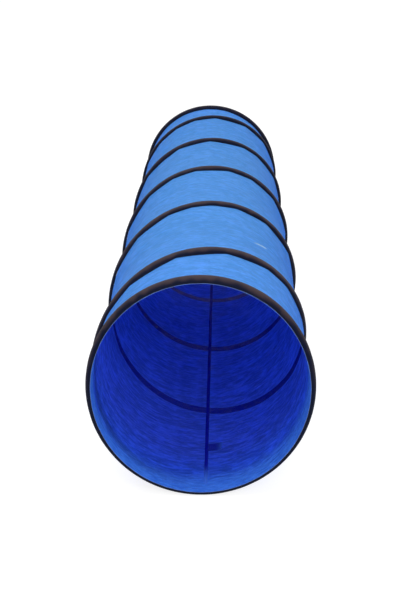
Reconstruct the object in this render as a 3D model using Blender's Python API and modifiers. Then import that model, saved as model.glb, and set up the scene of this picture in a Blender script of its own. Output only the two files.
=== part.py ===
"""Collapsible dog agility tunnel: a fabric tube held open by a helical spring wire in a sewn casing.

Units are metres, +Z is up, and the ground is z = 0. The tunnel lies along Y with its front mouth facing -Y.

Two coordinates describe every point of the tunnel:
    along: the distance behind the front hoop's plane;
    angle: the turn round the bore, from its foot through -X, over the top and down the +X side.

The fabric, the coil and the casings share the same corners round the bore, so their flat facets lie
parallel and the clearances between them hold all the way round.
"""

import math
from typing import NamedTuple

import bmesh
import bpy
import numpy as np
from mathutils import Vector

# Tunnel
TURNS = 5
COIL_PITCH = 0.610
OUTER_RADIUS = 0.300

# Sewn casing over the coil, and the fuller hems over the two hoops
CASING_WIDTH = 0.050
CASING_HEIGHT = 0.009
HEM_WIDTH = 0.050
HEM_HEIGHT = 0.014
CASING_THICKNESS = 0.0012
CASING_FLANGE = 0.0042
ARCH_SIDES = 5

# Spring wire and the crimped ferrules that close the hoops
WIRE_DIAMETER = 0.004
FERRULE_LENGTH = 0.040
FERRULE_WALL = 0.0008
FERRULE_BORE_CLEARANCE = 0.0004
FERRULE_SIDES = 12

# Fabric tube, its seam tape and the plain tab sewn in beside the seam
FABRIC_THICKNESS = 0.002
FABRIC_WAIST = 0.008
SEAM_ANGLE = math.radians(-2.6)
SEAM_WIDTH = 0.010
SEAM_THICKNESS = 0.001
TAB_WIDTH = 0.040
TAB_LENGTH = 0.050
TAB_THICKNESS = 0.001
TAB_ALONG = 0.252

# Fits and facets
CLEARANCE = 0.0003
LINING_CLEARANCE = 0.0005
FACETS_PER_TURN = 30
FABRIC_ROWS = 8
SHARP_ANGLE = math.radians(35)
CORNER_TOLERANCE = 1e-9

# Derived sizes
STEP = math.tau / FACETS_PER_TURN
HALF_STEP = STEP / 2
FACET_SHARE = math.cos(HALF_STEP)
LENGTH = TURNS * COIL_PITCH
AXIS_HEIGHT = OUTER_RADIUS * FACET_SHARE
CASING_BASE = OUTER_RADIUS - CASING_HEIGHT
HEM_BASE = OUTER_RADIUS - HEM_HEIGHT
FABRIC_RADIUS = CASING_BASE - CLEARANCE
MOUTH_RADIUS = HEM_BASE - CLEARANCE
FERRULE_BORE = WIRE_DIAMETER + 2 * FERRULE_BORE_CLEARANCE
FERRULE_DIAMETER = FERRULE_BORE + 2 * FERRULE_WALL
COIL_RADIUS = OUTER_RADIUS - CASING_THICKNESS - CLEARANCE - WIRE_DIAMETER / 2
HOOP_RADIUS = OUTER_RADIUS - CASING_THICKNESS - CLEARANCE - FERRULE_DIAMETER / 2
HEM_REACH = HEM_WIDTH / 2
COIL_FROM_HOOP = HEM_REACH + CLEARANCE
SPLIT_ANGLE = CLEARANCE / 2 / OUTER_RADIUS


class Finish(NamedTuple):
    """A material's colour, roughness and metallic value."""

    colour: tuple
    roughness: float
    metallic: float


FINISHES = {
    "spring_steel": Finish((0.42, 0.43, 0.45), 0.35, 1.0),
    "ferrule_aluminium": Finish((0.62, 0.63, 0.65), 0.40, 1.0),
    "casing_webbing": Finish((0.020, 0.017, 0.018), 0.75, 0.0),
    "tunnel_fabric": Finish((0.055, 0.235, 0.780), 0.60, 0.0),
    "seam_tape": Finish((0.004, 0.004, 0.060), 0.80, 0.0),
    "tab_fabric": Finish((0.010, 0.012, 0.060), 0.80, 0.0),
}


def clear_scene():
    """Remove every object that the file already holds."""
    for thing in list(bpy.data.objects):
        bpy.data.objects.remove(thing, do_unlink=True)


def material(name):
    """The material of this name, made from its finish the first time that it is asked for."""
    made = bpy.data.materials.get(name)
    if made is None:
        finish = FINISHES[name]
        made = bpy.data.materials.new(name)
        made.use_nodes = True
        shader = made.node_tree.nodes["Principled BSDF"]
        shader.inputs["Base Color"].default_value = (*finish.colour, 1.0)
        shader.inputs["Roughness"].default_value = finish.roughness
        shader.inputs["Metallic"].default_value = finish.metallic
        made.diffuse_color = (*finish.colour, 1.0)
    return made


def round_bore(angle, radius, along):
    """The point at this angle round the bore, at this distance from its axis."""
    return Vector((-radius * math.sin(angle), along, -radius * math.cos(angle)))


def facet_start(angle):
    """The corner angle where the facet at this angle begins."""
    return HALF_STEP + math.floor((angle - HALF_STEP) / STEP + CORNER_TOLERANCE) * STEP


def on_facet(angle, radius, along):
    """The point at this angle on a facet whose corners lie at this radius."""
    from_middle = angle - facet_start(angle) - HALF_STEP
    return round_bore(angle, radius * FACET_SHARE / math.cos(from_middle), along)


def coil_along(angle):
    """How far behind the front hoop the coil has climbed at this angle, counted on through its turns."""
    return COIL_PITCH * (angle - HALF_STEP) / math.tau


def coil_angle(along):
    """The angle at which the coil has climbed this far behind the front hoop."""
    return HALF_STEP + math.tau * along / COIL_PITCH


def fabric_radius(angle, along):
    """The fabric's outer radius, drawn in between the coil's casing and the hems that it is sewn to."""
    first = (COIL_FROM_HOOP, MOUTH_RADIUS)
    last = (LENGTH - COIL_FROM_HOOP, MOUTH_RADIUS)
    share_of_turn = (angle - HALF_STEP) / math.tau % 1.0
    coil = [(COIL_PITCH * (turn + share_of_turn), FABRIC_RADIUS) for turn in range(TURNS)]
    sewn = [first, *(line for line in coil if first[0] < line[0] < last[0]), last]
    before, radius_before = max((line for line in sewn if line[0] <= along), default=first)
    after, radius_after = min((line for line in sewn if line[0] >= along), default=last)
    span = after - before
    if span <= 0.0:
        return radius_before
    share = (along - before) / span
    depth = FABRIC_WAIST * (span / COIL_PITCH) ** 2
    straight = radius_before + (radius_after - radius_before) * share
    return straight - depth * math.sin(math.pi * share) ** 2


def arch(half_width, height):
    """Corners of an arch from its left shoulder to its right one, flat on top, as (along, out) pairs."""
    turns = [math.pi * side / ARCH_SIDES for side in range(1, ARCH_SIDES)]
    top = max(math.sin(turn) for turn in turns)
    return [(-half_width * math.cos(turn), height * math.sin(turn) / top) for turn in turns]


def casing_profile(width, height):
    """A casing's section, (along, out) pairs: an arch over the wire, open to the fabric, with two flanges."""
    edge = width / 2
    foot = edge - CASING_FLANGE
    inner_foot = foot - CASING_THICKNESS
    outside = [(-edge, 0.0), (-edge, CASING_THICKNESS), (-foot, CASING_THICKNESS)]
    outside += arch(foot, height)
    outside += [(foot, CASING_THICKNESS), (edge, CASING_THICKNESS), (edge, 0.0)]
    inside = [(-inner_foot, 0.0)]
    inside += arch(inner_foot, height - CASING_THICKNESS)
    inside += [(inner_foot, 0.0)]
    return outside + inside[::-1]


def spin_profile(points, axis, angle, steps, rise=0.0):
    """Sweep an outline round an axis. A full turn without rise closes on itself, others are capped."""
    full_turn = rise == 0.0
    bm = bmesh.new()
    verts = [bm.verts.new(point) for point in points]
    edges = [bm.edges.new((a, b)) for a, b in zip(verts, verts[1:] + verts[:1])]
    outline = verts + edges if full_turn else verts + edges + [bm.faces.new(verts)]
    bmesh.ops.spin(
        bm,
        geom=outline,
        axis=axis,
        cent=(0.0, 0.0, 0.0),
        dvec=(0.0, rise / steps, 0.0),
        angle=angle,
        steps=steps,
        use_merge=full_turn,
    )
    bmesh.ops.recalc_face_normals(bm, faces=bm.faces)
    return bm


def cut_square(bm, along, keep_behind):
    """Cut the solid square to the bore at this plane and close the cut."""
    cut = bmesh.ops.bisect_plane(
        bm,
        geom=[*bm.verts, *bm.edges, *bm.faces],
        plane_co=(0.0, along, 0.0),
        plane_no=(0.0, 1.0 if keep_behind else -1.0, 0.0),
        clear_inner=True,
    )
    rim = [item for item in cut["geom_cut"] if isinstance(item, bmesh.types.BMEdge)]
    bmesh.ops.edgeloop_fill(bm, edges=rim)
    bmesh.ops.recalc_face_normals(bm, faces=bm.faces)


class Tunnel:
    """The tunnel's collection, the frames that its pieces are placed in, and the ways to add a piece."""

    def __init__(self):
        self.collection = bpy.data.collections.new("dog_agility_tunnel")
        bpy.context.scene.collection.children.link(self.collection)

    def frame(self, name, along):
        """An empty on the bore's axis, which carries the pieces that move together."""
        empty = bpy.data.objects.new(name, None)
        empty.empty_display_type = "ARROWS"
        empty.location = (0.0, along - LENGTH / 2, AXIS_HEIGHT)
        empty["along"] = along
        self.collection.objects.link(empty)
        return empty

    def add(self, name, data, finish, frame):
        """Add a piece, modelled from its frame's origin, to the frame."""
        piece = bpy.data.objects.new(name, data)
        piece.parent = frame
        data.materials.append(material(finish))
        self.collection.objects.link(piece)
        return piece

    def add_mesh(self, name, bm, finish, frame):
        """Add a piece from a mesh that is modelled from the front hoop's centre."""
        bmesh.ops.translate(bm, verts=bm.verts, vec=(0.0, -frame["along"], 0.0))
        mesh = bpy.data.meshes.new(name)
        bm.to_mesh(mesh)
        bm.free()
        piece = self.add(name, mesh, finish, frame)
        mesh.shade_smooth()
        mesh.set_sharp_from_angle(angle=SHARP_ANGLE)
        return piece

    def add_wire(self, name, points, frame, closed=False):
        """Add a round spring wire through points measured from the front hoop's centre."""
        curve = bpy.data.curves.new(name, "CURVE")
        curve.dimensions = "3D"
        curve.bevel_depth = WIRE_DIAMETER / 2
        curve.bevel_resolution = 1
        curve.use_fill_caps = not closed
        spline = curve.splines.new("POLY")
        spline.points.add(len(points) - 1)
        spline.use_cyclic_u = closed
        for knot, point in zip(spline.points, points):
            knot.co = (point.x, point.y - frame["along"], point.z, 1.0)
        return self.add(name, curve, "spring_steel", frame)

    def add_sheet(self, name, angles, rows, place, thickness, finish, frame):
        """Add a sheet of fabric on a grid of angles and rows, thickened towards the bore's axis."""
        columns = len(angles) - 1
        bm = bmesh.new()
        bmesh.ops.create_grid(bm, x_segments=columns, y_segments=len(rows) - 1, size=0.5)
        for vert in bm.verts:
            column = round((vert.co.x + 0.5) * columns)
            row = round((vert.co.y + 0.5) * (len(rows) - 1))
            vert.co = place(angles[column], rows[row])
        bmesh.ops.remove_doubles(bm, verts=bm.verts, dist=CLEARANCE / 10)
        piece = self.add_mesh(name, bm, finish, frame)
        shell = piece.modifiers.new("thickness", "SOLIDIFY")
        shell.thickness = thickness
        shell.offset = -1.0
        shell.use_even_offset = True
        return piece


def fabric_rows(number):
    """The rows of fabric corners of one section, with one row more at a mouth, where the hem lies over it."""
    start = COIL_PITCH * (number - 1) + CLEARANCE / 2 if number > 1 else COIL_FROM_HOOP
    end = COIL_PITCH * number - CLEARANCE / 2 if number < TURNS else LENGTH - COIL_FROM_HOOP
    rows = [start + (end - start) * row / FABRIC_ROWS for row in range(FABRIC_ROWS + 1)]
    if number == 1:
        rows.insert(0, -HEM_REACH)
    if number == TURNS:
        rows.append(LENGTH + HEM_REACH)
    return rows


def add_hoop(tunnel, end, along, frame):
    """A mouth's wire hoop, its crimped ferrule at the foot, and the hem casing over them."""
    corners = [HALF_STEP + STEP * corner for corner in range(FACETS_PER_TURN)]
    ring = [round_bore(angle, HOOP_RADIUS, along) for angle in corners]
    tunnel.add_wire(f"{end}_hoop_wire", ring, frame, closed=True)

    bore = FERRULE_BORE / 2
    outside = FERRULE_DIAMETER / 2
    half = FERRULE_LENGTH / 2
    section = [(-half, 0, bore), (half, 0, bore), (half, 0, outside), (-half, 0, outside)]
    ferrule = spin_profile(section, (1.0, 0.0, 0.0), math.tau, FERRULE_SIDES)
    seat = on_facet(0.0, HOOP_RADIUS, along)
    bmesh.ops.translate(ferrule, verts=ferrule.verts, vec=seat)
    tunnel.add_mesh(f"{end}_hoop_ferrule", ferrule, "ferrule_aluminium", frame)

    outline = [
        round_bore(HALF_STEP, HEM_BASE + out, along + aside)
        for aside, out in casing_profile(HEM_WIDTH, HEM_HEIGHT)
    ]
    hem = spin_profile(outline, (0.0, 1.0, 0.0), math.tau, FACETS_PER_TURN)
    tunnel.add_mesh(f"{end}_hem_casing", hem, "casing_webbing", frame)


def turn_angles(number):
    """The corners of one turn of the coil wire, clear of the hems and of the next turns."""
    start = HALF_STEP + math.tau * (number - 1)
    reach = COIL_FROM_HOOP + WIRE_DIAMETER / 2
    first = max(start + SPLIT_ANGLE, coil_angle(reach))
    last = min(start + math.tau - SPLIT_ANGLE, coil_angle(LENGTH - reach))
    corners = [start + STEP * corner for corner in range(1, FACETS_PER_TURN)]
    return [first, *(angle for angle in corners if first < angle < last), last]


def add_turn(tunnel, number, frame):
    """One turn of the spring wire and of the casing over it."""
    path = [on_facet(angle, COIL_RADIUS, coil_along(angle)) for angle in turn_angles(number)]
    tunnel.add_wire(f"coil_turn_{number}", path, frame)

    start = HALF_STEP + math.tau * (number - 1) + SPLIT_ANGLE
    sweep = math.tau - 2 * SPLIT_ANGLE
    rise = COIL_PITCH * sweep / math.tau
    outline = [
        round_bore(start, CASING_BASE + out, coil_along(start) + aside)
        for aside, out in casing_profile(CASING_WIDTH, CASING_HEIGHT)
    ]
    casing = spin_profile(outline, (0.0, 1.0, 0.0), sweep, FACETS_PER_TURN, rise)
    if number == 1:
        cut_square(casing, COIL_FROM_HOOP, keep_behind=True)
    if number == TURNS:
        cut_square(casing, LENGTH - COIL_FROM_HOOP, keep_behind=False)
    tunnel.add_mesh(f"coil_casing_{number}", casing, "casing_webbing", frame)
    return path


def lining_point(angle, along, inset):
    """A point inside the fabric, this far in from its outer face."""
    first = facet_start(angle)
    outer = on_facet(angle, fabric_radius(first, along), along)
    other = on_facet(angle, fabric_radius(first + STEP, along), along)
    share = (angle - first) / STEP
    middle = first + HALF_STEP
    return outer.lerp(other, share) + inset * Vector((math.sin(middle), 0.0, math.cos(middle)))


def add_fabric(tunnel, number, frame):
    """One section of the fabric tube, between two planes a coil pitch apart, and its seam tape."""
    rows = fabric_rows(number)
    corners = [HALF_STEP + STEP * corner for corner in range(FACETS_PER_TURN + 1)]
    tunnel.add_sheet(
        f"fabric_section_{number}",
        corners,
        rows,
        lambda angle, along: round_bore(angle, fabric_radius(angle, along), along),
        FABRIC_THICKNESS,
        "tunnel_fabric",
        frame,
    )
    inset = FABRIC_THICKNESS + LINING_CLEARANCE
    half = SEAM_WIDTH / 2 / FABRIC_RADIUS
    tunnel.add_sheet(
        f"seam_tape_{number}",
        [SEAM_ANGLE - half, SEAM_ANGLE + half],
        rows,
        lambda angle, along: lining_point(angle, along, inset),
        SEAM_THICKNESS,
        "seam_tape",
        frame,
    )


def add_tab(tunnel, frame):
    """The plain tab that is sewn in beside the seam, inside the front mouth."""
    inset = FABRIC_THICKNESS + LINING_CLEARANCE
    near = SEAM_ANGLE - (SEAM_WIDTH / 2 + LINING_CLEARANCE) / FABRIC_RADIUS
    far = near - TAB_WIDTH / FABRIC_RADIUS
    fold = facet_start(near)
    angles = [far, fold, near] if far < fold < near else [far, near]
    tunnel.add_sheet(
        "seam_tab",
        angles,
        [TAB_ALONG, TAB_ALONG + TAB_LENGTH],
        lambda angle, along: lining_point(angle, along, inset),
        TAB_THICKNESS,
        "tab_fabric",
        frame,
    )


def least_coil_gap(path):
    """The least clear distance from the coil's wire to itself, between points half a turn or more apart."""
    points = np.array(path)
    apart = np.linalg.norm(points[:, None] - points[None], axis=2)
    place = np.arange(len(points))
    next_turn = np.abs(place[:, None] - place[None]) >= FACETS_PER_TURN // 2
    return apart[next_turn].min() - WIRE_DIAMETER


def build():
    """Build the tunnel from its front mouth to its rear one."""
    clear_scene()
    tunnel = Tunnel()
    front = tunnel.frame("front_end", 0.0)
    frames = [front, *(tunnel.frame(f"section_{n}", COIL_PITCH * (n - 1)) for n in range(2, TURNS + 1))]
    rear = tunnel.frame("rear_end", LENGTH)

    add_hoop(tunnel, "front", 0.0, front)
    path = []
    for number, frame in enumerate(frames, start=1):
        path += add_turn(tunnel, number, frame)
        add_fabric(tunnel, number, frame)
    add_tab(tunnel, front)
    add_hoop(tunnel, "rear", LENGTH, rear)
    print(f"least gap between the coil's turns: {least_coil_gap(path) * 1000:.1f} mm")


build()
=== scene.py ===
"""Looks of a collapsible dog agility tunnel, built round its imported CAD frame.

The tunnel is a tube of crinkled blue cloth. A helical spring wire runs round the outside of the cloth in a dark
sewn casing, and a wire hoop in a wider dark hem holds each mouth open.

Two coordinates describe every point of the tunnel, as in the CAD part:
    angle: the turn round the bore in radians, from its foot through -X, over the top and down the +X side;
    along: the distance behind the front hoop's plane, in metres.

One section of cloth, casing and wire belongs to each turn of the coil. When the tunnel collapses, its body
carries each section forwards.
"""

from __future__ import annotations

import logging
import math
from collections.abc import Mapping, Sequence
from dataclasses import dataclass, field
from enum import Enum

import bmesh
import bpy
import numpy as np
from mathutils import Matrix, Vector

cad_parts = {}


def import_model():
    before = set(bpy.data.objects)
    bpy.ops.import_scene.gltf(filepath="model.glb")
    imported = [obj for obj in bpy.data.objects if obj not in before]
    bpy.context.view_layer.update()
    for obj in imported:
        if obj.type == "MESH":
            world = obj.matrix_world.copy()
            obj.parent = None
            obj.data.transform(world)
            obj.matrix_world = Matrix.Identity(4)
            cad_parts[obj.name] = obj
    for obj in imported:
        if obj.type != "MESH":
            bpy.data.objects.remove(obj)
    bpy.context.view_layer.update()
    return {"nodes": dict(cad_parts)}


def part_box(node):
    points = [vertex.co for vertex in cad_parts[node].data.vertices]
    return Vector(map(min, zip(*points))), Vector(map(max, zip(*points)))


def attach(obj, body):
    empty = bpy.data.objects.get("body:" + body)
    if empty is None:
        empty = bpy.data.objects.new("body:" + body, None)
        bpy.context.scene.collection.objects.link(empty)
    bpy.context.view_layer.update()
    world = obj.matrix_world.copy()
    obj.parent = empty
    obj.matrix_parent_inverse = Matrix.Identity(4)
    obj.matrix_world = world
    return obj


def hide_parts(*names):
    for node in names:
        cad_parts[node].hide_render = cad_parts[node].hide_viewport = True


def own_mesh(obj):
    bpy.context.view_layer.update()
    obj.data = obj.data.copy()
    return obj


log = logging.getLogger("agility_tunnel")

Colour = tuple[float, float, float]
TAU = math.tau
MM = 0.001
WHITE = (1.0, 1.0, 1.0)

# What a mesh keeps of the cloth: each point's place on it when flat, and its shade from a valley to a crest.
FLAT_MAP = "flat"
CREASE = "crease"

# Half of the gap between the pieces of one section and those of the next.
HALF_SPLIT = 0.05 * MM

# Rows of a table of random values, more than any pattern takes along the bore.
LATTICE_ROWS = 4096


class End(Enum):
    """The two mouths of the tunnel."""

    FRONT = "front"
    REAR = "rear"

    @property
    def body(self) -> str:
        """The body that carries this mouth."""
        return f"{self.value}_end"


class Side(Enum):
    """The two faces of the tunnel's cloth."""

    OUTSIDE = "outside"
    INSIDE = "inside"


class Axis(Enum):
    """The axes of the frame that a finish can follow: X across the bore and Y along it."""

    X = "X"
    Y = "Y"


# Node trees


class Value:
    """A number in a node tree. Arithmetic on it adds Math nodes to the tree."""

    def __init__(self, graph: Graph, socket: bpy.types.NodeSocket) -> None:
        """Wrap a socket of the graph's tree."""
        self.graph = graph
        self.socket = socket

    def _math(self, operation: str, *values: Value | float) -> Value:
        """The result of one Math node on these values."""
        return self.graph.math(operation, *values)

    def __add__(self, other: Value | float) -> Value:
        """self + other."""
        return self._math("ADD", self, other)

    __radd__ = __add__

    def __sub__(self, other: Value | float) -> Value:
        """self - other."""
        return self._math("SUBTRACT", self, other)

    def __rsub__(self, other: Value | float) -> Value:
        """other - self."""
        return self._math("SUBTRACT", other, self)

    def __mul__(self, other: Value | float) -> Value:
        """self * other."""
        return self._math("MULTIPLY", self, other)

    __rmul__ = __mul__

    def __truediv__(self, other: Value | float) -> Value:
        """self / other."""
        return self._math("DIVIDE", self, other)

    def __mod__(self, other: Value | float) -> Value:
        """self wrapped into the range from 0 to other."""
        return self._math("FLOORED_MODULO", self, other)

    def sine(self) -> Value:
        """The sine of the value, in radians."""
        return self._math("SINE", self)

    def cosine(self) -> Value:
        """The cosine of the value, in radians."""
        return self._math("COSINE", self)

    def smaller(self, other: Value | float) -> Value:
        """The smaller of the two values."""
        return self._math("MINIMUM", self, other)

    def larger(self, other: Value | float) -> Value:
        """The larger of the two values."""
        return self._math("MAXIMUM", self, other)

    def fade(self, low: float, high: float) -> Value:
        """0 below low and 1 above high, with a smooth step between them."""
        node = self.graph.node(
            "ShaderNodeMapRange",
            {"interpolation_type": "SMOOTHSTEP"},
            {"Value": self, "From Min": low, "From Max": high},
        )
        return Value(self.graph, node.outputs["Result"])


class Graph:
    """A shader or geometry node tree that is being built."""

    def __init__(self, tree: bpy.types.NodeTree) -> None:
        """Start on an existing tree."""
        self.tree = tree

    def node(
        self,
        kind: str,
        settings: Mapping[str, object] | None = None,
        inputs: Mapping[str | int, object] | None = None,
    ) -> bpy.types.Node:
        """Add a node.

        Args:
            kind: The node's type name.
            settings: Its own settings, set before its sockets.
            inputs: Values or links of its sockets, by name or by place.

        Returns:
            The new node.
        """
        made = self.tree.nodes.new(kind)
        for name, value in (settings or {}).items():
            setattr(made, name, value)
        self.fill(made, inputs or {})
        return made

    def fill(self, node: bpy.types.Node, inputs: Mapping[str | int, object]) -> None:
        """Link or set these sockets of a node, by name or by place."""
        for key, value in inputs.items():
            self.plug(node.inputs[key], value)

    def plug(self, socket: bpy.types.NodeSocket, value: object) -> None:
        """Link a value or a socket into this socket, or set its own number or colour."""
        if isinstance(value, Value):
            value = value.socket
        if isinstance(value, bpy.types.NodeSocket):
            self.tree.links.new(value, socket)
        elif socket.type == "RGBA":
            socket.default_value = (*value, 1.0)
        else:
            socket.default_value = value

    def math(self, operation: str, *values: Value | float) -> Value:
        """The result of one Math node on these values."""
        node = self.node("ShaderNodeMath", {"operation": operation}, dict(enumerate(values)))
        return Value(self, node.outputs[0])

    def vector(self, x: object = 0.0, y: object = 0.0, z: object = 0.0) -> bpy.types.NodeSocket:
        """A vector made of three numbers."""
        return self.node("ShaderNodeCombineXYZ", inputs={"X": x, "Y": y, "Z": z}).outputs[0]

    def mix(self, share: object, first: object, second: object) -> bpy.types.NodeSocket:
        """A colour between two others: the first at share 0, the second at share 1."""
        node = self.node("ShaderNodeMix", {"data_type": "RGBA"}, {0: share, 6: first, 7: second})
        return node.outputs[2]

    def noise(self, vector: object, scale: float, detail: float = 2.0, rough: float = 0.5) -> Value:
        """Smooth noise between 0 and 1 at this vector."""
        node = self.node(
            "ShaderNodeTexNoise",
            {"noise_dimensions": "3D"},
            {"Vector": vector, "Scale": scale, "Detail": detail, "Roughness": rough},
        )
        return Value(self, node.outputs["Fac"])

    def number(self, attribute: str) -> Value:
        """A number that the mesh keeps for each of its points."""
        node = self.node("ShaderNodeAttribute", {"attribute_name": attribute})
        return Value(self, node.outputs["Fac"])

    def parts(self, vector: bpy.types.NodeSocket) -> dict[Axis, Value]:
        """The first two numbers of a vector."""
        split = self.node("ShaderNodeSeparateXYZ", inputs={0: vector})
        return {axis: Value(self, split.outputs[axis.value]) for axis in Axis}

    def object_place(self) -> bpy.types.NodeSocket:
        """Where a point lies in the frame."""
        return self.node("ShaderNodeTexCoord").outputs["Object"]

    def flat_place(self) -> tuple[Value, Value]:
        """Where a point lies on the flat cloth: metres round the bore, and metres along it."""
        parts = self.parts(self.node("ShaderNodeUVMap", {"uv_map": FLAT_MAP}).outputs["UV"])
        return parts[Axis.X], parts[Axis.Y]

    def bump(self, height: object, distance: float, strength: float = 1.0) -> bpy.types.NodeSocket:
        """A normal that stands up by this height, where 1 is the distance in metres."""
        inputs = {"Height": height, "Distance": distance, "Strength": strength}
        return self.node("ShaderNodeBump", inputs=inputs).outputs["Normal"]

    def seen_plain(self) -> Value:
        """1 for the rays that meet a plain white background: the camera's, and those off gloss or glass."""
        path = self.node("ShaderNodeLightPath")
        seen = Value(self, path.outputs["Is Camera Ray"])
        for other in ("Is Glossy Ray", "Is Transmission Ray"):
            seen = seen.larger(Value(self, path.outputs[other]))
        return seen

    def show(self, share: object, first: bpy.types.Node, second: bpy.types.Node, output: str) -> None:
        """Send a mix of two shaders to this output node: the first at share 0, the second at share 1."""
        both = self.node("ShaderNodeMixShader", inputs={0: share, 1: first.outputs[0], 2: second.outputs[0]})
        self.plug(self.tree.nodes[output].inputs["Surface"], both.outputs[0])


def new_material(name: str) -> tuple[bpy.types.Material, Graph, bpy.types.Node]:
    """A material with one Principled shader.

    Args:
        name: The material's name.

    Returns:
        The material, its graph, and the Principled node.
    """
    material = bpy.data.materials.new(name)
    material.use_nodes = True
    return material, Graph(material.node_tree), material.node_tree.nodes["Principled BSDF"]


# Finishes


@dataclass(frozen=True)
class Grain:
    """The fine pattern of crinkled cloth at a place. Each part of it lies between 0 and 1."""

    strands: Value
    crumple: Value
    patches: Value
    ridges: Value

    @classmethod
    def at(cls, graph: Graph, around: Value, along: Value) -> Grain:
        """Lay the pattern out on the flat cloth, finer along the bore than round it.

        Args:
            graph: The material's graph.
            around: Metres round the bore.
            along: Metres along it.

        Returns:
            The pattern.
        """
        drift = graph.noise(graph.vector(around * 13.0, along * 13.0, 5.3), 1.0, 1.0) * 0.012
        place = along + drift
        folds = graph.noise(graph.vector(around * 20.0, place * 52.0, 11.9), 1.0, 2.0, 0.6) - 0.5
        return cls(
            strands=graph.noise(graph.vector(around * 34.0, place * 92.0), 1.0, 3.0, 0.6),
            crumple=graph.noise(graph.vector(around * 15.0, place * 34.0, 3.1), 1.0, 4.0, 0.62),
            patches=graph.noise(graph.vector(around * 2.2, along * 3.4, 7.7), 1.0, 2.0),
            ridges=(1.0 - folds.larger(folds * -1.0) * 11.0).larger(0.0),
        )

    def tone(self, crease: Value, fine_lines: float) -> Value:
        """The cloth's tone, from 0 in a valley to 1 on a crest: random tone, with painted shade and painted
        highlight that follow the crinkles. Negative fine lines are dark ones.
        """
        fine = (self.strands - 0.5) * 2.3 + (self.crumple - 0.5) * 0.35
        broad = crease * 0.34 + (self.patches - 0.5) * 0.30
        return (fine + broad + (self.ridges - 0.3) * fine_lines + 0.51).fade(-0.2, 1.2)

    def height(self, weave: Value) -> Value:
        """How far the cloth stands up, as a share of its bump's height."""
        return self.strands * 0.9 + self.crumple * 0.7 + self.ridges * 0.25 + weave * 0.03


@dataclass(frozen=True)
class PaleMark:
    """A short pale mark on the first open stretch of cloth, slanting across it.

    Its places are metres on the flat cloth, and each pair says where it fades from and to.
    """

    colour: Colour = (0.520, 0.800, 0.980)
    around: float = 1.098
    along: float = 0.618
    slope: float = 0.88
    half_width: tuple[float, float] = (3.0 * MM, 13.0 * MM)
    near_end: tuple[float, float] = (1.080, 1.112)
    far_end: tuple[float, float] = (1.132, 1.150)

    def share(self, around: Value, along: Value) -> Value:
        """How much of the mark shows at a place: 1 in its middle, and 0 off it."""
        off_line = along - (around - self.around) * self.slope - self.along
        beside = off_line.larger(off_line * -1.0).fade(*self.half_width)
        past_end = around.fade(*self.far_end)
        return (1.0 - beside) * around.fade(*self.near_end) * (1.0 - past_end)


@dataclass(frozen=True)
class ClothFinish:
    """Thin crinkled polyester that lets some light through, seen from one of its sides."""

    side: Side
    valley: Colour
    crest: Colour
    through: Colour
    see_through: float
    roughness: float
    fine_lines: float
    # Painted light: a paler pair of colours for the top of the tunnel, where the light from above falls.
    crown: tuple[Colour, Colour] | None = None
    # Painted light: the colours that the inside takes deep in the bore.
    painted_depth_light: tuple[Colour, Colour] | None = None
    shaded: Colour | None = None
    pale_mark: PaleMark | None = None
    weave_pitch: float = 1.1 * MM
    bump_height: float = 3.6 * MM
    dim_share: float = 0.62

    def build(self, layout: TunnelLayout) -> bpy.types.Material:
        """Make the material.

        Args:
            layout: The tunnel's sizes, which place the casing's shade on the inside.

        Returns:
            The material.
        """
        material, graph, shader = new_material(f"cloth_{self.side.value}")
        around, along = graph.flat_place()
        grain = Grain.at(graph, around, along)
        tone = grain.tone(graph.number(CREASE), self.fine_lines)
        # Painted shade and highlight: the colour runs from the valley colour to the crest colour with the tone,
        # which follows the crinkles and their fine ridges as well as the cloth's random tone.
        colour = graph.mix(tone, self.valley, self.crest)
        # Painted light: the outer cloth turns paler towards the top of the tunnel and stays deeper blue down
        # its sides.
        if self.crown is not None:
            turn = (around / layout.girth + layout.seam_angle / TAU) * TAU
            top = (turn.cosine() * -1.0).fade(-0.2, 1.0)
            colour = graph.mix(top, colour, graph.mix(tone, *self.crown))
        if self.pale_mark is not None:
            colour = graph.mix(self.pale_mark.share(around, along), colour, self.pale_mark.colour)
        clear = self.see_through
        from_mouth = along.smaller(layout.length - along)
        # Painted light: from the mouths inwards the inside takes another pair of colours, which stands in for
        # how the light inside changes with depth.
        if self.painted_depth_light is not None:
            colour = graph.mix(from_mouth.fade(0.0, 0.30), colour, graph.mix(tone, *self.painted_depth_light))
        if self.shaded is not None:
            hidden = self._behind_casing(layout, around, along) * (from_mouth.fade(0.10, 0.24) * 0.92 + 0.08)
            colour = graph.mix(hidden, colour, self.shaded)
            clear = self.see_through * (1.0 - hidden * 0.95) * from_mouth.fade(0.002, 0.120)
        yarns = TAU / self.weave_pitch
        weave = (around * yarns).sine() * (along * yarns).sine()
        normal = graph.bump(grain.height(weave), self.bump_height, 0.9)
        graph.fill(
            shader,
            {
                "Base Color": colour,
                "Normal": normal,
                "Roughness": self.roughness,
                "Specular IOR Level": 0.10,
                "Sheen Weight": 0.06,
                "Sheen Roughness": 0.4,
                "Sheen Tint": (0.15, 0.40, 1.0),
            },
        )
        glow = graph.mix(tone, tuple(self.dim_share * part for part in self.through), self.through)
        light = graph.node("ShaderNodeBsdfTranslucent", inputs={"Color": glow, "Normal": normal})
        graph.show(clear, shader, light, "Material Output")
        return material

    def _behind_casing(self, layout: TunnelLayout, around: Value, along: Value) -> Value:
        """1 where the dark casing lies behind the cloth, and 0 elsewhere."""
        start = (layout.seam_angle - layout.coil_start) / TAU
        turns = along / layout.pitch - around / layout.girth - start
        share = turns % 1.0
        distance = share.smaller(1.0 - share) * layout.pitch
        half, blur = layout.casing_width / 2, 1.5 * MM
        return 1.0 - distance.fade(half - blur, half + blur)


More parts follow.
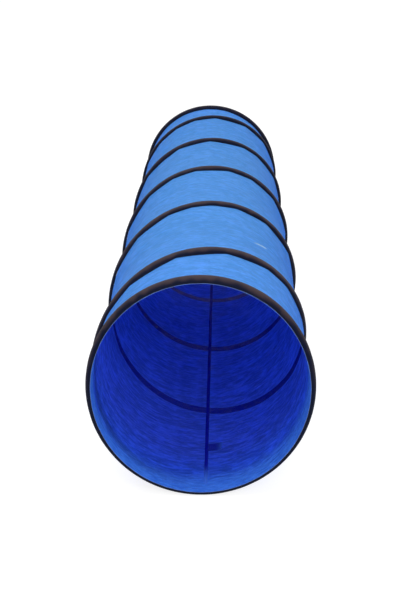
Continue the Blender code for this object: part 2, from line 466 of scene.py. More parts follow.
@dataclass(frozen=True)
class WebbingFinish:
    """Dark woven strip with fine ribs across its length, with a brown highlight painted along the top of the
    tunnel.
    """

    name: str = "casing_webbing"
    dark: Colour = (0.002, 0.004, 0.016)
    # The brown of the painted highlight.
    light: Colour = (0.041, 0.027, 0.032)
    roughness: float = 0.62
    rib_pitch: float = 1.6 * MM
    yarn_pitch: float = 1.3 * MM

    def build(self, layout: TunnelLayout) -> bpy.types.Material:
        """Make the material.

        Args:
            layout: The tunnel's sizes, which tell how high up on the tunnel a place on the strip lies.

        Returns:
            The material.
        """
        material, graph, shader = new_material(self.name)
        length, width = graph.flat_place()
        ribs = (length * (TAU / self.rib_pitch)).sine() * 0.5 + 0.5
        yarns = (width * (TAU / self.yarn_pitch)).sine() * 0.5 + 0.5
        fuzz = graph.noise(graph.vector(length * 900.0, width * 900.0), 1.0, 2.0)
        wear_and_highlight_patches = graph.noise(graph.vector(length * 24.0, width * 60.0, 4.0), 1.0, 3.0)
        highlight_patchiness = graph.noise(graph.vector(length * 5.0, 0.0, 9.0), 1.0, 1.0)
        puffed = graph.number(CREASE)
        behind = graph.parts(graph.object_place())[Axis.Y] - layout.front_plane
        # Painted highlight: the strip turns brown along the top of the tunnel, most on its puffed crest and
        # least at its flat edges, and less towards the rear; random patches vary it.
        painted_top_highlight = ((length / layout.outer_radius).cosine() * -1.0).fade(-0.35, 0.95)
        painted_top_highlight = painted_top_highlight * (1.0 - behind.fade(0.6, 3.0) * 0.65)
        tone = puffed * 0.75 + (wear_and_highlight_patches - 0.5) * 0.5 + (highlight_patchiness - 0.5) * 0.6 + (fuzz - 0.5) * 0.3 + ribs * 0.06
        colour = graph.mix(tone.fade(0.0, 1.0) * painted_top_highlight, self.dark, self.light)
        height = ribs * 0.5 + yarns * 0.3 + fuzz * 0.35
        graph.fill(
            shader,
            {
                "Base Color": colour,
                "Roughness": wear_and_highlight_patches * 0.16 + (self.roughness - 0.08),
                "Normal": graph.bump(height, 0.35 * MM, 0.6),
                "Specular IOR Level": 0.06,
                "Sheen Weight": 0.01,
                "Sheen Roughness": 0.45,
            },
        )
        return material


@dataclass(frozen=True)
class TapeFinish:
    """Plain woven tape, thread or tab in one hue, with a visible weave."""

    name: str
    dark: Colour
    light: Colour
    pitch: float = 1.2 * MM
    roughness: float = 0.7
    # A colour that the finish turns to along one axis: for the seam tape it is painted light near the front
    # mouth, and the tab turns to it towards its free edge.
    lightened: Colour = (0.0, 0.0, 0.0)
    fade_axis: Axis = Axis.X
    fade_from: float = 0.0
    fade_to: float = 0.0

    def build(self) -> bpy.types.Material:
        """Make the material."""
        material, graph, shader = new_material(self.name)
        place = graph.object_place()
        axes = graph.parts(place)
        yarns = TAU / self.pitch
        weave = (axes[Axis.X] * yarns).sine() * (axes[Axis.Y] * yarns).sine()
        mottle = graph.noise(place, 90.0, 3.0)
        colour = graph.mix((weave * 0.18 + mottle).fade(0.2, 0.85), self.dark, self.light)
        if self.fade_to != self.fade_from:
            lightened = axes[self.fade_axis].fade(self.fade_from, self.fade_to)
            colour = graph.mix(lightened, colour, self.lightened)
        graph.fill(
            shader,
            {
                "Base Color": colour,
                "Normal": graph.bump(weave * 0.5 + mottle * 0.5, 0.3 * MM, 0.6),
                "Roughness": self.roughness,
                "Specular IOR Level": 0.06,
            },
        )
        return material


@dataclass(frozen=True)
class DrawnMetalFinish:
    """Drawn spring steel or crimped aluminium, with fine scratches along it."""

    name: str
    dark: Colour
    light: Colour
    roughness: float

    def build(self) -> bpy.types.Material:
        """Make the material."""
        material, graph, shader = new_material(self.name)
        place = graph.object_place()
        haze = graph.noise(place, 140.0, 3.0)
        scratches = graph.noise(place, 1500.0, 2.0)
        graph.fill(
            shader,
            {
                "Base Color": graph.mix(haze, self.dark, self.light),
                "Roughness": haze * 0.2 + (self.roughness - 0.1),
                "Normal": graph.bump(scratches, 0.05 * MM, 0.4),
                "Metallic": 1.0,
            },
        )
        return material


@dataclass(frozen=True)
class FloorFinish:
    """A plain pale floor that looks white to the camera and still shows the shadow."""

    name: str = "studio_floor"
    colour: Colour = (0.86, 0.86, 0.86)
    white_share: float = 0.62
    white_strength: float = 1.32

    def build(self) -> bpy.types.Material:
        """Make the material."""
        material, graph, shader = new_material(self.name)
        graph.fill(shader, {"Base Color": self.colour, "Roughness": 0.9, "Specular IOR Level": 0.1})
        white = graph.node("ShaderNodeEmission", inputs={"Color": WHITE, "Strength": self.white_strength})
        graph.show(graph.seen_plain() * self.white_share, shader, white, "Material Output")
        return material


@dataclass
class Finishes:
    """Every material of the scene, built once."""

    layout: TunnelLayout
    cloth_outside: bpy.types.Material = field(init=False)
    cloth_inside: bpy.types.Material = field(init=False)
    webbing: bpy.types.Material = field(init=False)
    tape: bpy.types.Material = field(init=False)
    tab: bpy.types.Material = field(init=False)
    edge: bpy.types.Material = field(init=False)
    dark_thread: bpy.types.Material = field(init=False)
    navy_thread: bpy.types.Material = field(init=False)
    steel: bpy.types.Material = field(init=False)
    ferrule: bpy.types.Material = field(init=False)

    def __post_init__(self) -> None:
        """Build each material."""
        self.cloth_outside = ClothFinish(
            Side.OUTSIDE,
            valley=(0.016, 0.178, 0.900),
            crest=(0.044, 0.292, 0.990),
            through=(0.064, 0.240, 0.985),
            see_through=0.45,
            roughness=0.55,
            fine_lines=-0.50,
            # Painted light: the paler blues of the top of the tunnel.
            crown=((0.088, 0.362, 0.860), (0.133, 0.455, 0.970)),
            pale_mark=PaleMark(),
        ).build(self.layout)
        self.cloth_inside = ClothFinish(
            Side.INSIDE,
            valley=(0.028, 0.132, 0.600),
            crest=(0.054, 0.222, 0.800),
            through=(0.270, 0.330, 0.960),
            see_through=0.65,
            roughness=0.60,
            fine_lines=0.50,
            # Painted light: the inside's colours deep in the bore.
            painted_depth_light=((0.058, 0.122, 0.520), (0.104, 0.192, 0.710)),
            shaded=(0.002, 0.003, 0.260),
        ).build(self.layout)
        self.webbing = WebbingFinish().build(self.layout)
        front = self.layout.front_plane
        # Painted light: the seam tape turns pale blue from 0.16 m to 0.04 m behind the front mouth, where light
        # comes in at the mouth.
        self.tape = TapeFinish(
            "seam_tape",
            (0.002, 0.003, 0.220),
            (0.005, 0.009, 0.350),
            lightened=(0.048, 0.160, 0.640),
            fade_axis=Axis.Y,
            fade_from=front + 0.160,
            fade_to=front + 0.040,
        ).build()
        self.tab = TapeFinish(
            "tab_cloth",
            (0.006, 0.012, 0.230),
            (0.012, 0.026, 0.340),
            lightened=(0.046, 0.140, 0.560),
            fade_from=0.036,
            fade_to=0.066,
        ).build()
        fine = 0.5 * MM
        # The cloth's turned edge is real; its grey-blue colour is partly a painted highlight where the edge
        # catches the light.
        self.edge = TapeFinish("mouth_edge", (0.080, 0.115, 0.250), (0.120, 0.165, 0.330), 0.9 * MM).build()
        self.dark_thread = TapeFinish("dark_thread", (0.012, 0.009, 0.010), (0.040, 0.030, 0.028), fine).build()
        self.navy_thread = TapeFinish("navy_thread", (0.003, 0.005, 0.070), (0.010, 0.018, 0.160), fine).build()
        self.steel = DrawnMetalFinish("spring_steel", (0.36, 0.37, 0.39), (0.56, 0.57, 0.60), 0.30).build()
        self.ferrule = DrawnMetalFinish(
            "ferrule_aluminium", (0.55, 0.56, 0.58), (0.74, 0.75, 0.77), 0.38
        ).build()


# Shape of the tunnel


@dataclass(frozen=True)
class TunnelLayout:
    """The sizes and places that every part of the tunnel shares."""

    axis_height: float
    front_plane: float
    turns: int = 5
    pitch: float = 0.610
    outer_radius: float = 0.300
    hem_width: float = 0.050
    hem_height: float = 0.014
    casing_width: float = 0.050
    casing_height: float = 0.009
    wall: float = 0.0012
    wire_diameter: float = 0.004
    clearance: float = 0.0003
    coil_start: float = math.radians(6.0)
    seam_angle: float = math.radians(-2.6)
    travel: float = 2.87
    collapse_joint: str = "collapse"

    @classmethod
    def from_frame(cls) -> TunnelLayout:
        """Read the bore's axis and the front hoop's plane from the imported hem."""
        low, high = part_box("front_hem_casing")
        return cls(axis_height=(low.z + high.z) / 2, front_plane=(low.y + high.y) / 2)

    @property
    def numbers(self) -> range:
        """The numbers of the sections, from the front."""
        return range(1, self.turns + 1)

    @property
    def length(self) -> float:
        """The distance between the two hoops."""
        return self.turns * self.pitch

    @property
    def cloth_radius(self) -> float:
        """The outside of the cloth where it is sewn to the coil's casing."""
        return self.outer_radius - self.casing_height - self.clearance

    @property
    def mouth_radius(self) -> float:
        """The outside of the cloth under a hem."""
        return self.outer_radius - self.hem_height - self.clearance

    @property
    def coil_radius(self) -> float:
        """The middle of the coil's wire, right under the casing's crest."""
        return self.outer_radius - self.wall - self.clearance - self.wire_diameter / 2

    @property
    def girth(self) -> float:
        """The cloth's length once round the bore."""
        return TAU * self.cloth_radius

    @property
    def hem_reach(self) -> float:
        """How far a hem reaches to either side of its hoop, with the clearance to the coil."""
        return self.hem_width / 2 + self.clearance

    @property
    def kept(self) -> float:
        """The share of a section's length that is left when the tunnel is collapsed."""
        return 1.0 - self.travel / (self.length - 2 * self.hem_reach)

    def point(self, angle: np.ndarray, radius: np.ndarray, along: np.ndarray) -> np.ndarray:
        """Points of the tunnel in the frame, kept above the ground.

        Args:
            angle: Turn round the bore.
            radius: Distance from the bore's axis.
            along: Distance behind the front hoop.

        Returns:
            The points, with one more axis of x, y and z.
        """
        angle, radius, along = np.broadcast_arrays(angle, radius, along)
        height = np.maximum(self.axis_height - radius * np.cos(angle), 0.0)
        return np.stack([-radius * np.sin(angle), self.front_plane + along, height], axis=-1)

    def coil_along(self, turn: np.ndarray) -> np.ndarray:
        """How far behind the front hoop the coil is at this angle, counted on through its turns."""
        return self.pitch * (turn - self.coil_start) / TAU

    def coil_turn(self, along: float) -> float:
        """The angle, counted on through the turns, at which the coil is this far behind the front hoop."""
        return self.coil_start + TAU * along / self.pitch

    def coil_share(self, angle: np.ndarray) -> np.ndarray:
        """How much of a turn this angle lies past the coil's start, from 0 to 1."""
        return (angle - self.coil_start) / TAU % 1.0

    def section(self, number: int) -> tuple[float, float]:
        """Where a section of cloth starts and ends along the bore."""
        start = self.hem_reach if number == 1 else self.pitch * (number - 1)
        end = self.length - self.hem_reach if number == self.turns else self.pitch * number
        return start, end

    def body(self, number: int) -> str:
        """The body that carries a section."""
        return End.FRONT.body if number == 1 else f"section_{number}"


def lattice(cells_around: int, x: np.ndarray, y: np.ndarray | float, seed: int) -> np.ndarray:
    """Smooth random values from -1 to 1 on a lattice that closes on itself round the bore.

    Args:
        cells_around: Lattice cells once round the bore.
        x: Place round the bore, in cells.
        y: Place along the bore, in cells.
        seed: Chooses the pattern.

    Returns:
        One value for each place.
    """
    x, y = np.broadcast_arrays(x, y)
    column, row = np.floor(x).astype(int), np.floor(y).astype(int)
    table = np.random.default_rng(seed).uniform(-1.0, 1.0, (LATTICE_ROWS, cells_around))
    u, v = (t * t * t * (t * (t * 6.0 - 15.0) + 10.0) for t in (x - column, y - row))
    first, second = column % cells_around, (column + 1) % cells_around
    near, far = row % LATTICE_ROWS, (row + 1) % LATTICE_ROWS
    front = table[near, first] * (1 - u) + table[near, second] * u
    back = table[far, first] * (1 - u) + table[far, second] * u
    return front * (1 - v) + back * v


def eased(share: np.ndarray) -> np.ndarray:
    """A smooth step from 0 to 1 as the share runs from 0 to 1."""
    share = np.clip(share, 0.0, 1.0)
    return share * share * (3.0 - 2.0 * share)


@dataclass(frozen=True)
class Wrinkle:
    """Wrinkles of one size in the cloth, which run round the bore."""

    around: float
    along: float
    depth: float
    seed: int
    creased: bool = False
    first_row: float = 0.0

    def height(self, layout: TunnelLayout, angle: np.ndarray, along: np.ndarray) -> np.ndarray:
        """How far the wrinkles stand out at these places, in the unit of their depth."""
        cells = round(layout.girth / self.around)
        rows = along / self.along + self.first_row
        values = lattice(cells, (angle / TAU % 1.0) * cells, rows, self.seed)
        if self.creased:
            values = np.maximum(1.0 - 3.2 * np.abs(values) ** 0.9, -0.8)
        return self.depth * values


@dataclass(frozen=True)
class Facets:
    """The cloth is held up at irregular points of the stitching and spans straight from one to the next."""

    seed: int
    strength: float
    shortest: float = 0.30
    longest: float = 0.50
    closes_after: float | None = None
    held_at: tuple[float, ...] = ()
    deepest: float = 9.0 * MM

    def knots(self, reach: float) -> np.ndarray:
        """The angles that are held up, over at least this reach."""
        steps = np.random.default_rng(self.seed).uniform(self.shortest, self.longest, 400)
        knots = np.concatenate([[0.0], np.cumsum(steps)])
        if self.closes_after is not None:
            inside = knots[knots < self.closes_after - self.shortest]
            return np.append(inside, self.closes_after)
        knots = knots[knots < reach + self.longest] - self.longest
        for held in self.held_at:
            knots = knots[np.abs(knots - held) > 0.75 * self.shortest]
        return np.sort(np.append(knots, self.held_at))

    def dip(self, layout: TunnelLayout, turn: np.ndarray) -> np.ndarray:
        """How far the cloth falls short of the round, in metres, at these angles."""
        if self.closes_after is not None:
            turn = turn % self.closes_after
        knots = self.knots(TAU * (layout.turns + 1))
        place = np.clip(np.searchsorted(knots, turn, side="right"), 1, len(knots) - 1)
        before, after = knots[place - 1], knots[place]
        straight = layout.cloth_radius * (turn - before) * (after - turn) / 2
        hanging = 0.55 - 0.45 * np.cos(turn)
        return self.strength * hanging * np.clip(straight, 0.0, self.deepest)


@dataclass(frozen=True)
class ClothShape:
    """The form that the tunnel's cloth takes: waisted between its casings, faceted near them, and crinkled.

    Beside a casing and beside the seam the cloth lies flat for a margin, and the wrinkles grow over an ease.
    """

    layout: TunnelLayout
    waist: float = 0.0085
    sag: float = 0.25
    sewn_margin: float = 2 * MM
    sewn_ease: float = 24 * MM
    sewn_sink: float = 0.25 * MM
    seam_margin: float = 6 * MM
    seam_ease: float = 14 * MM
    dips_ease: float = 0.05
    hem_dips_reach: float = 0.15
    coil_front: Facets = Facets(
        seed=11,
        strength=0.62,
        held_at=(2.897, 3.377, 3.818, 9.292, 9.497, 9.786, 15.569, 15.975, 21.570, 22.004, 22.720, 28.358),
    )
    coil_back: Facets = Facets(seed=23, strength=0.40)
    hem_facets: Facets = Facets(seed=5, strength=0.15, closes_after=TAU)
    wrinkles: tuple[Wrinkle, ...] = (
        Wrinkle(around=0.180, along=0.070, depth=1.00 * MM, seed=101),
        Wrinkle(around=0.058, along=0.0230, depth=1.10 * MM, seed=102, creased=True),
        Wrinkle(around=0.038, along=0.0150, depth=0.75 * MM, seed=103, creased=True),
        Wrinkle(around=0.027, along=0.0100, depth=0.45 * MM, seed=104),
    )
    drifts: tuple[Wrinkle, ...] = (
        Wrinkle(around=0.240, along=0.210, depth=0.0180, seed=201, first_row=9.0),
        Wrinkle(around=0.075, along=0.085, depth=0.0065, seed=202, first_row=9.0),
    )
    amount: Wrinkle = Wrinkle(around=0.240, along=0.160, depth=0.36, seed=203, first_row=9.0)
    usual_amount: float = 0.80
    shortest_ramp: float = 0.06
    longest_ramp: float = 0.30

    def _lines(self, angle: np.ndarray, along: np.ndarray) -> tuple[np.ndarray, ...]:
        """The sewn lines round each place: their free edges and how many turns of the coil lie before it."""
        layout = self.layout
        share = layout.coil_share(angle)
        turns_before = np.floor(along / layout.pitch - share)
        behind = layout.pitch * (turns_before + share)
        ahead = behind + layout.pitch
        half, reach = layout.casing_width / 2, layout.hem_reach
        first = np.where(turns_before < 0, reach, np.maximum(behind + half, reach))
        last_turn = turns_before + 1 >= layout.turns
        last = np.where(last_turn, layout.length - reach, np.minimum(ahead - half, layout.length - reach))
        return first, last, behind, turns_before

    def radius(self, angle: np.ndarray, along: np.ndarray) -> np.ndarray:
        """The cloth's outer radius without its wrinkles."""
        layout = self.layout
        angle, along = np.broadcast_arrays(angle, along)
        first, last, behind, turns_before = self._lines(angle, along)
        span = np.maximum(last - first, 1e-6)
        share = np.clip((along - first) / span, 0.0, 1.0)
        open_span = layout.pitch - layout.casing_width
        fullness = np.clip(span / open_span, 0.0, 1.0) ** 1.5
        gravity = 1.0 - self.sag * np.cos(angle)
        drawn = self.waist * gravity * fullness * 4.0 * share * (1.0 - share)
        turn_behind = layout.coil_turn(behind)
        behind_coil = (turns_before >= 0) & (along <= last)
        before_coil = (turns_before + 1 < layout.turns) & (along >= first)
        back_dip = np.where(behind_coil, self.coil_back.dip(layout, turn_behind), 0.0)
        front_dip = np.where(before_coil, self.coil_front.dip(layout, turn_behind + TAU), 0.0)
        dips = back_dip * (1.0 - share) ** 5 + front_dip * share**5
        across = self._across_casing(angle, along)
        turn = layout.coil_turn(np.where(across > 0.5, behind, behind + layout.pitch))
        under = self.coil_front.dip(layout, turn) * (1.0 - across) + self.coil_back.dip(layout, turn) * across
        dips = np.where((across > 0.0) & (across < 1.0), under, dips)
        level, from_hem = self._level(angle, along)
        hem_dip = self.hem_facets.dip(layout, angle) * self._hem_hold(along)
        return level - drawn - dips * eased(from_hem / self.dips_ease) - hem_dip

    def _level(self, angle: np.ndarray, along: np.ndarray) -> tuple[np.ndarray, np.ndarray]:
        """The radius of the sewn cloth, which is less at the mouths, and the distance from the nearer hem."""
        layout = self.layout
        reach = layout.hem_reach
        share = layout.coil_share(angle)
        clear = layout.casing_width / 2 + reach
        front_ramp = np.clip(layout.pitch * share - clear, self.shortest_ramp, self.longest_ramp)
        rear_ramp = np.clip(layout.pitch * (1.0 - share) - clear, self.shortest_ramp, self.longest_ramp)
        from_front, from_rear = along - reach, layout.length - reach - along
        grown = np.minimum(eased(from_front / front_ramp), eased(from_rear / rear_ramp))
        level = layout.mouth_radius + (layout.cloth_radius - layout.mouth_radius) * grown
        return level, np.minimum(from_front, from_rear)

    def _hem_hold(self, along: np.ndarray) -> np.ndarray:
        """How much of a hem's dips the cloth takes: most at the hem's inner edge, and less to either side."""
        layout = self.layout
        inside = np.minimum(along, layout.length - along) - layout.hem_reach
        under = np.clip(1.0 + inside / (2 * layout.hem_reach), 0.0, 1.0)
        open_cloth = np.clip(1.0 - inside / self.hem_dips_reach, 0.0, 1.0) ** 3
        return np.where(inside < 0.0, under, open_cloth)

    def _across_casing(self, angle: np.ndarray, along: np.ndarray) -> np.ndarray:
        """How far across the coil's casing a place lies: 0 at its front edge and 1 at its back edge."""
        layout = self.layout
        share = layout.coil_share(angle)
        nearest = layout.pitch * (np.round(along / layout.pitch - share) + share)
        real = (nearest > -1e-9) & (nearest < layout.length + 1e-9)
        across = (along - nearest) / layout.casing_width + 0.5
        return np.where(real, across, -1.0)

    def crinkle(self, angle: np.ndarray, along: np.ndarray) -> tuple[np.ndarray, np.ndarray]:
        """The wrinkles at these places.

        Args:
            angle: Turn round the bore.
            along: Distance behind the front hoop.

        Returns:
            How far they stand out in metres, and a shade from -1 in a valley to 1 on a crest.
        """
        layout = self.layout
        angle, along = np.broadcast_arrays(angle, along)
        drift = sum(wave.height(layout, angle, along) for wave in self.drifts)
        amount = self.usual_amount + self.amount.height(layout, angle, along)
        heights = [wrinkle.height(layout, angle, along + drift + 0.5) for wrinkle in self.wrinkles]
        shaded_depth = sum(wrinkle.depth for wrinkle in self.wrinkles[1:])
        shade = np.clip(sum(heights[1:]) / shaded_depth * 1.6, -1.0, 1.0)
        first, last, _, _ = self._lines(angle, along)
        held = eased((np.minimum(along - first, last - along) - self.sewn_margin) / self.sewn_ease)
        off_seam = np.abs((angle - layout.seam_angle + math.pi) % TAU - math.pi) * layout.cloth_radius
        loose = np.clip((off_seam - self.seam_margin) / self.seam_ease, 0.0, 1.0)
        raised = sum(heights) * amount * held * loose - self.sewn_sink * (1.0 - held)
        return raised, shade * (0.35 + 0.65 * held)


# Mesh building


def flat_grid(rows: np.ndarray, columns: np.ndarray) -> np.ndarray:
    """The flat map of a grid, from the place of each row and that of each column."""
    return np.stack(np.broadcast_arrays(rows[:, None], columns[None]), axis=-1)


def swept_faces(stations: int, steps: int, flat: np.ndarray) -> tuple[np.ndarray, np.ndarray]:
    """The faces of a closed section that is swept from station to station.

    Args:
        stations: How many stations there are.
        steps: How many stretches lie between them, which is as many where the last one joins the first one.
        flat: The flat map by station and by point of the section.

    Returns:
        The points of each face, and the flat map at each of their corners.
    """
    around = flat.shape[1]
    here, place = np.meshgrid(np.arange(steps), np.arange(around), indexing="ij")
    there, beside = here + 1, (place + 1) % around
    corners = [(here, place), (there, place), (there, beside), (here, beside)]
    quads = np.stack([station % stations * around + point for station, point in corners], axis=-1)
    return quads.reshape(-1, 4), np.stack([flat[corner] for corner in corners], axis=2).reshape(-1, 2)


def mapped_mesh(name: str, points: np.ndarray, quads: np.ndarray, corners: np.ndarray) -> bpy.types.Mesh:
    """A mesh of these faces, with its flat map."""
    mesh = bpy.data.meshes.new(name)
    mesh.from_pydata(points.reshape(-1, 3).tolist(), [], quads.tolist())
    mesh.uv_layers.new(name=FLAT_MAP).uv.foreach_set("vector", corners.astype(np.float32).ravel())
    return mesh


@dataclass
class Wall:
    """A thin closed wall between an outer and an inner surface that share one grid.

    The first axis runs round the bore and the second one across the strip, towards the rear of the tunnel.
    """

    outer: np.ndarray
    inner: np.ndarray
    flat: np.ndarray
    closed: bool
    crease: np.ndarray | None = None

    def build(
        self, name: str, outside: bpy.types.Material, inside: bpy.types.Material | None = None
    ) -> bpy.types.Object:
        """Make the wall's object.

        Args:
            name: The piece's name.
            outside: The material of its outer surface.
            inside: The material of its inner surface and rims, if it isn't the same.

        Returns:
            The object, linked to the scene.
        """
        stations, width = self.outer.shape[:2]
        around = 2 * width
        loop = np.concatenate([self.outer, self.inner[:, ::-1]], axis=1)
        steps = stations if self.closed else stations - 1
        flat = np.concatenate([self.flat, self.flat[:, ::-1]], axis=1)
        quads, corners = swept_faces(stations, steps, flat)
        sides = np.tile(np.arange(around) >= width - 1, steps).astype(np.int32)
        if not self.closed:
            rows = np.arange(width - 1)
            first = np.stack([rows, rows + 1, around - 2 - rows, around - 1 - rows], axis=-1)
            last = first[:, ::-1]
            quads = np.concatenate([quads, first, last + (stations - 1) * around])
            corners = np.concatenate([corners, flat[0][first].reshape(-1, 2), flat[-1][last].reshape(-1, 2)])
            sides = np.concatenate([sides, np.ones(2 * len(rows), np.int32)])
        mesh = mapped_mesh(name, loop, quads, corners)
        if self.crease is not None:
            shade = np.concatenate([self.crease, self.crease[:, ::-1]], axis=1)
            kept = mesh.attributes.new(CREASE, "FLOAT", "POINT")
            kept.data.foreach_set("value", shade.astype(np.float32).ravel())
        mesh.materials.append(outside)
        if inside is not None:
            mesh.materials.append(inside)
            mesh.polygons.foreach_set("material_index", sides)
        mesh.shade_smooth()
        self._sharpen(mesh, stations, width)
        return linked(name, mesh)

    def _sharpen(self, mesh: bpy.types.Mesh, stations: int, width: int) -> None:
        """Keep the edges of the strip and its two ends crisp."""
        ends = np.zeros(len(mesh.edges) * 2, np.int32)
        mesh.edges.foreach_get("vertices", ends)
        station, place = np.divmod(ends.reshape(-1, 2), 2 * width)
        rims = np.isin(place[:, 0], (0, width - 1, width, 2 * width - 1)) & (place[:, 0] == place[:, 1])
        if not self.closed:
            rims |= np.isin(station[:, 0], (0, stations - 1)) & (station[:, 0] == station[:, 1])
        mesh.edges.foreach_set("use_edge_sharp", rims)


def linked(name: str, data: bpy.types.ID | None) -> bpy.types.Object:
    """A new object with this data, linked to the scene."""
    made = bpy.data.objects.new(name, data)
    bpy.context.scene.collection.objects.link(made)
    return made


def cut_square(piece: bpy.types.Object, plane: float, keep_behind: bool) -> None:
    """Cut a piece square to the bore and close the cut.

    Args:
        piece: The piece, with its place in its mesh.
        plane: The cut's place along Y.
        keep_behind: Keep what lies behind the plane, or else what lies in front of it.
    """
    bm = bmesh.new()
    bm.from_mesh(piece.data)
    cut = bmesh.ops.bisect_plane(
        bm,
        geom=[*bm.verts, *bm.edges, *bm.faces],
        plane_co=(0.0, plane, 0.0),
        plane_no=(0.0, 1.0 if keep_behind else -1.0, 0.0),
        clear_inner=True,
    )
    rim = [item for item in cut["geom_cut"] if isinstance(item, bmesh.types.BMEdge)]
    for edge in rim:
        edge.smooth = False
    filled = bmesh.ops.edgeloop_fill(bm, edges=rim)
    bmesh.ops.recalc_face_normals(bm, faces=bm.faces)
    bmesh.ops.triangulate(bm, faces=filled["faces"])
    bm.to_mesh(piece.data)
    bm.free()


# Sub-assemblies


@dataclass
class ClothTube:
    """The blue cloth tube: one section for each turn of the coil, and a strip under each hem."""

    shape: ClothShape
    finishes: Finishes
    columns: int = 192
    row_spacing: float = 0.0025
    thickness: float = 0.0008
    mouth_overhang: float = 0.0006

    def build(self) -> list[bpy.types.Object]:
        """Build every section and both mouth strips."""
        layout = self.shape.layout
        pieces = [self._section(number) for number in layout.numbers]
        pieces += [self._mouth(end) for end in End]
        return pieces

    def _piece(self, name: str, start: float, end: float) -> bpy.types.Object:
        """The cloth between two places along the bore."""
        layout = self.shape.layout
        rows = max(2, round((end - start) / self.row_spacing))
        along = np.linspace(start, end, rows + 1)
        angle = layout.seam_angle + TAU * np.arange(self.columns) / self.columns
        radius = self.shape.radius(angle[:, None], along[None])
        raised, shade = self.shape.crinkle(angle[:, None], along[None])
        outer = layout.point(angle[:, None], radius + raised, along[None])
        inner = layout.point(angle[:, None], radius + raised - self.thickness, along[None])
        steps = layout.girth * np.arange(self.columns + 1) / self.columns
        wall = Wall(outer, inner, flat_grid(steps, along), closed=True, crease=shade)
        return wall.build(name, self.finishes.cloth_outside, self.finishes.cloth_inside)

    def _section(self, number: int) -> bpy.types.Object:
        """One section of the cloth, on the body that carries it."""
        layout = self.shape.layout
        start, end = layout.section(number)
        piece = self._piece(f"cloth_section_{number}", start + HALF_SPLIT, end - HALF_SPLIT)
        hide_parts(f"fabric_section_{number}")
        end - start
        return dress(piece, layout.body(number), layout, number)

    def _mouth(self, end: End) -> bpy.types.Object:
        """The strip of cloth under a hem, which stays with its hoop."""
        layout = self.shape.layout
        reach, over = layout.hem_reach, layout.hem_width / 2 + self.mouth_overhang
        if end is End.FRONT:
            start, stop = -over, reach - HALF_SPLIT
        else:
            start, stop = layout.length - reach + HALF_SPLIT, layout.length + over
        piece = self._piece(f"mouth_cloth_{end.value}", start, stop)
        stop - start
        return dress(piece, end.body)


@dataclass(frozen=True)
class StripProfile:
    """A casing's section: a puffed arch over the wire between two flat stitched flanges.

    A flange is given from its edge inwards, by the distance from the edge and the height over the cloth. The
    stitches pull it down at its groove.
    """

    width: float
    height: float
    wall: float
    flange: float = 0.0042
    arch_points: int = 15
    puff: float = 0.78
    flange_places: tuple[tuple[float, float], ...] = (
        (0.0, 0.6 * MM),
        (0.25 * MM, 1.0 * MM),
        (0.9 * MM, 1.2 * MM),
        (2.0 * MM, 0.75 * MM),
        (3.2 * MM, 1.15 * MM),
    )
    groove: int = 3

    def places(self) -> tuple[np.ndarray, np.ndarray, np.ndarray, np.ndarray]:
        """The section from its front edge to its back edge.

        Returns:
            For the outer surface its places across and the flange's height there, then the share of the arch's
            height, and the places across of the inner surface.
        """
        edge = self.width / 2
        foot = edge - self.flange
        turns = np.linspace(0.0, math.pi, self.arch_points)
        side = np.array([-edge + place for place, _ in self.flange_places])
        lift = np.array([height for _, height in self.flange_places])
        across = np.concatenate([side, -foot * np.cos(turns), -side[::-1]])
        flat = np.concatenate([lift, np.full(len(turns), self.wall), lift[::-1]])
        arch = np.concatenate([np.zeros(len(side)), np.sin(turns) ** self.puff, np.zeros(len(side))])
        inner = np.concatenate([side, -(foot - self.wall) * np.cos(turns), -side[::-1]])
        return across, flat, arch, inner


